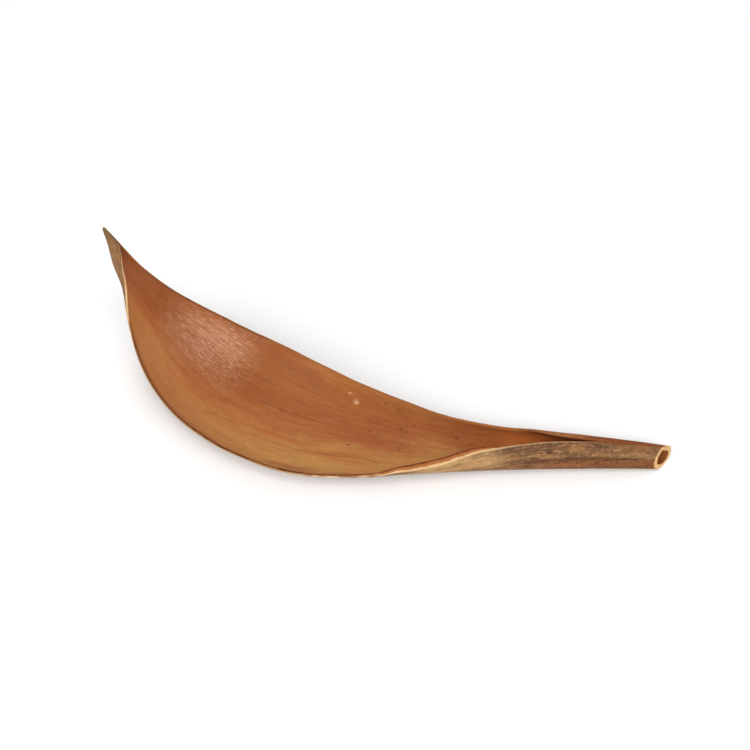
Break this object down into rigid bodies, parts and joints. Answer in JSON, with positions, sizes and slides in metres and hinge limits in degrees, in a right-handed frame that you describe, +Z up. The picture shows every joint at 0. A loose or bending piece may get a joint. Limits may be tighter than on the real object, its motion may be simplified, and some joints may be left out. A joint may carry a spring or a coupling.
{
  "type": "dried palm bract",
  "caption": "Dried boat-shaped palm bract, sold as a cocoa leaf: an open woody blade that curls up into a pointed beak and rolls into a hollow sawn stalk.",
  "frame": {"origin": "on the surface that the leaf lies on, under the middle of its outline seen from above", "axes": "+X along the leaf, from the beak to the sawn end of the stalk; +Z up; the opening faces up and towards -Y"},
  "size_m": [0.4975, 0.182, 0.1418],
  "materials": {
    "dried_bract": "satin sienna-brown inside, matt grey-brown bark outside, pale tan along the rims and the cut"
  },
  "bodies": {
    "root": {"cocoa_leaf": "dried_bract"}
  },
  "joints": []
}
